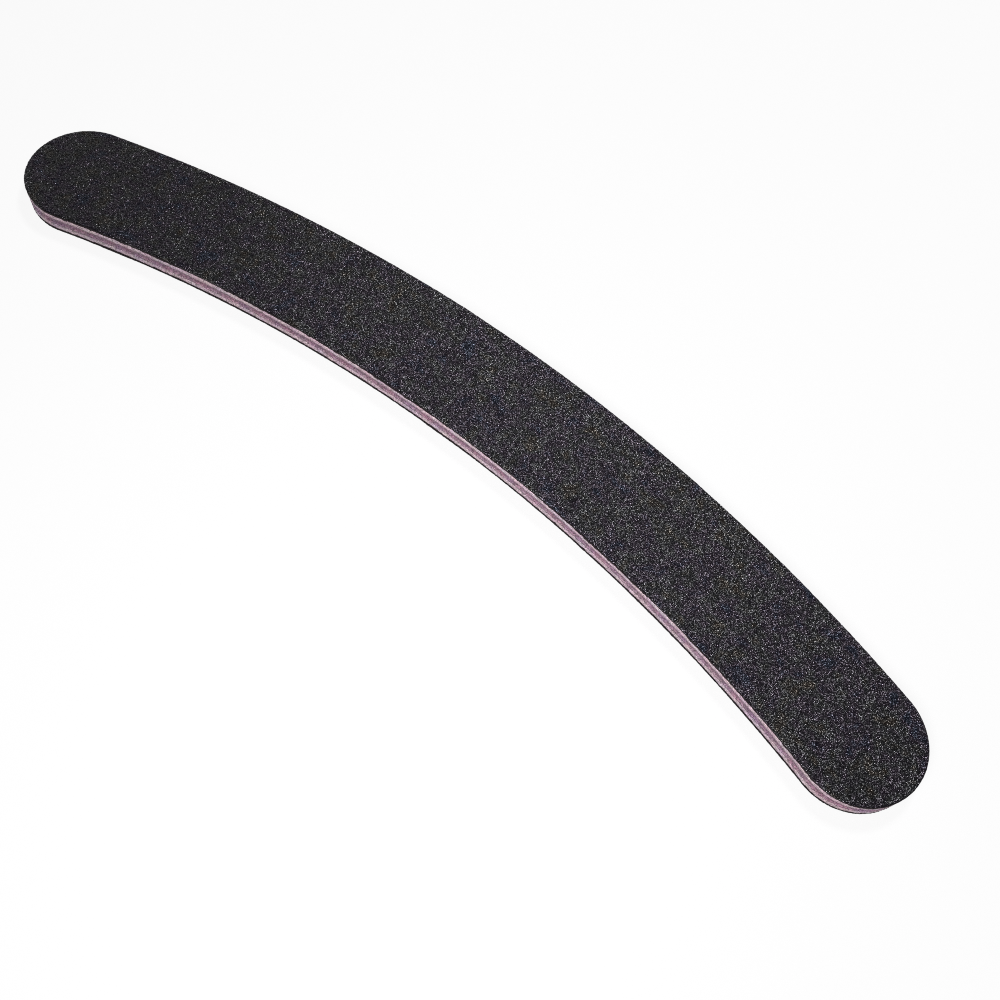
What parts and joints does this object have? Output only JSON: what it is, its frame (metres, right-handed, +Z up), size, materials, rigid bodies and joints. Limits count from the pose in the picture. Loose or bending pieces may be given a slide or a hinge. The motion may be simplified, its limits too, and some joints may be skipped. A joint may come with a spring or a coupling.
{
  "type": "emery board",
  "caption": "Curved, flat nail file with round ends: black abrasive sheets on both faces of a laminate of pale pink foam and a mauve plastic core.",
  "frame": {"origin": "middle of the plan outline's box, on the lower abrasive face that the board lies on", "axes": "+X along the length, +Y towards the convex side, +Z up through the layers"},
  "size_m": [0.178, 0.0316, 0.0044],
  "materials": {
    "grit": "rough black silicon carbide grains in resin, with glinting facets",
    "backing_paper": "matt black latex paper",
    "adhesive": "clear, slightly pink acrylic film",
    "foam": "pale pink closed-cell foam with a cut edge",
    "core": "mauve polystyrene with a die-cut edge"
  },
  "bodies": {
    "root": {"lower_grit_coat": "grit", "lower_backing_paper": "backing_paper", "lower_sheet_adhesive": "adhesive", "lower_foam_pad": "foam", "lower_core_adhesive": "adhesive", "core_board": "core", "upper_core_adhesive": "adhesive", "upper_foam_pad": "foam", "upper_sheet_adhesive": "adhesive", "upper_backing_paper": "backing_paper", "upper_grit_coat": "grit"}
  },
  "joints": []
}
